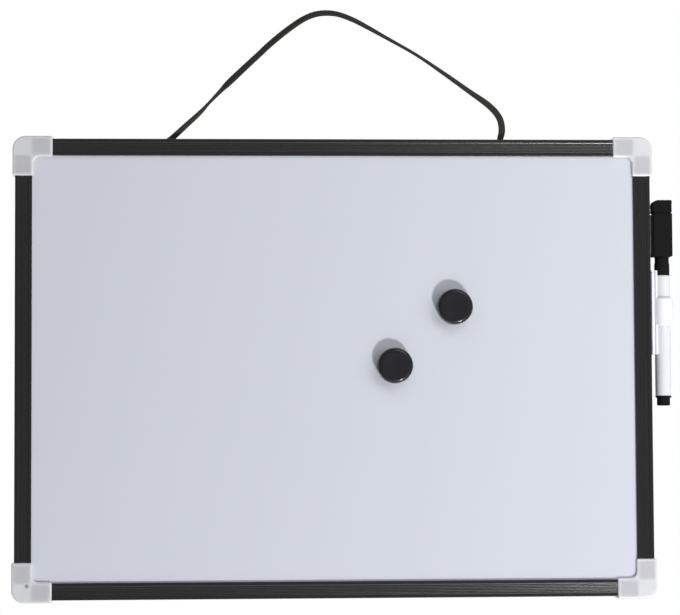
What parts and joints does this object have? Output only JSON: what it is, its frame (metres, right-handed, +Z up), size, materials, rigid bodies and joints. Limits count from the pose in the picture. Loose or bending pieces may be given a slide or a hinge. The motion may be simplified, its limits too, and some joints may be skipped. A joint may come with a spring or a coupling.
{
  "type": "hanging magnetic whiteboard",
  "caption": "Hanging magnetic whiteboard in a fluted frame with corner caps and a cord loop, with sliding round magnets and a capped marker in a side holder.",
  "frame": {"origin": "underside of the cord's loop where it lies over a wall hook, on the board's centre line and in the middle of the frame's depth", "axes": "+Z up, -Y towards the reader (the writing sheet faces -Y), +X to the reader's right, where the marker is"},
  "size_m": [0.4123, 0.0188, 0.3687],
  "materials": {
    "lacquered_sheet": "glossy bluish white lacquer on thin steel",
    "core": "honeycomb board",
    "backing": "plain grey primed sheet",
    "rail": "extruded black, semi-gloss, a shallow sunk band with fine lengthwise flutes",
    "corner": "moulded white, slightly milky",
    "cord": "flat braided black cord",
    "toggle": "moulded",
    "tape": "white foam tape",
    "holder": "moulded white, soft gloss",
    "barrel": "moulded white, glossy",
    "marker_black": "moulded black, satin",
    "ink_fibre": "fibre soaked in black ink",
    "nib_section": "moulded grey",
    "felt": "dense black felt",
    "magnet_black": "glossy black",
    "ferrite": "bare ferrite"
  },
  "bodies": {
    "board": {"writing_sheet": "lacquered_sheet", "core_board": "core", "back_sheet": "backing", "top_rail": "rail", "bottom_rail": "rail", "left_rail": "rail", "right_rail": "rail", "corner_top_left": "corner", "corner_top_right": "corner", "corner_bottom_left": "corner", "corner_bottom_right": "corner", "hanging_cord": "cord", "cord_toggle_left": "toggle", "cord_toggle_right": "toggle", "holder_tape": "tape", "pen_holder": "holder"},
    "marker": {"marker_barrel": "barrel", "marker_end_plug": "marker_black", "marker_reservoir": "ink_fibre", "marker_nib_section": "nib_section", "marker_nib": "ink_fibre"},
    "cap": {"marker_cap": "marker_black", "eraser_felt": "felt"},
    "magnet_1": {"magnet_cap_1": "magnet_black", "magnet_disc_1": "ferrite"},
    "magnet_2": {"magnet_cap_2": "magnet_black", "magnet_disc_2": "ferrite"}
  },
  "joints": [
    {"name": "marker_slide", "type": "slide", "parent": "board", "child": "marker", "axis": [0, 0, 1], "range_m": [-0.008, 0.085]},
    {"name": "cap_pull", "type": "slide", "parent": "marker", "child": "cap", "axis": [0, 0, 1], "range_m": [0, 0.03]},
    {"name": "magnet_1_slide", "type": "slide", "parent": "board", "child": "magnet_1", "axis": [1, 0, 0], "range_m": [-0.25, 0.1]},
    {"name": "magnet_2_slide", "type": "slide", "parent": "board", "child": "magnet_2", "axis": [0, 0, 1], "range_m": [-0.12, 0.118]}
  ]
}
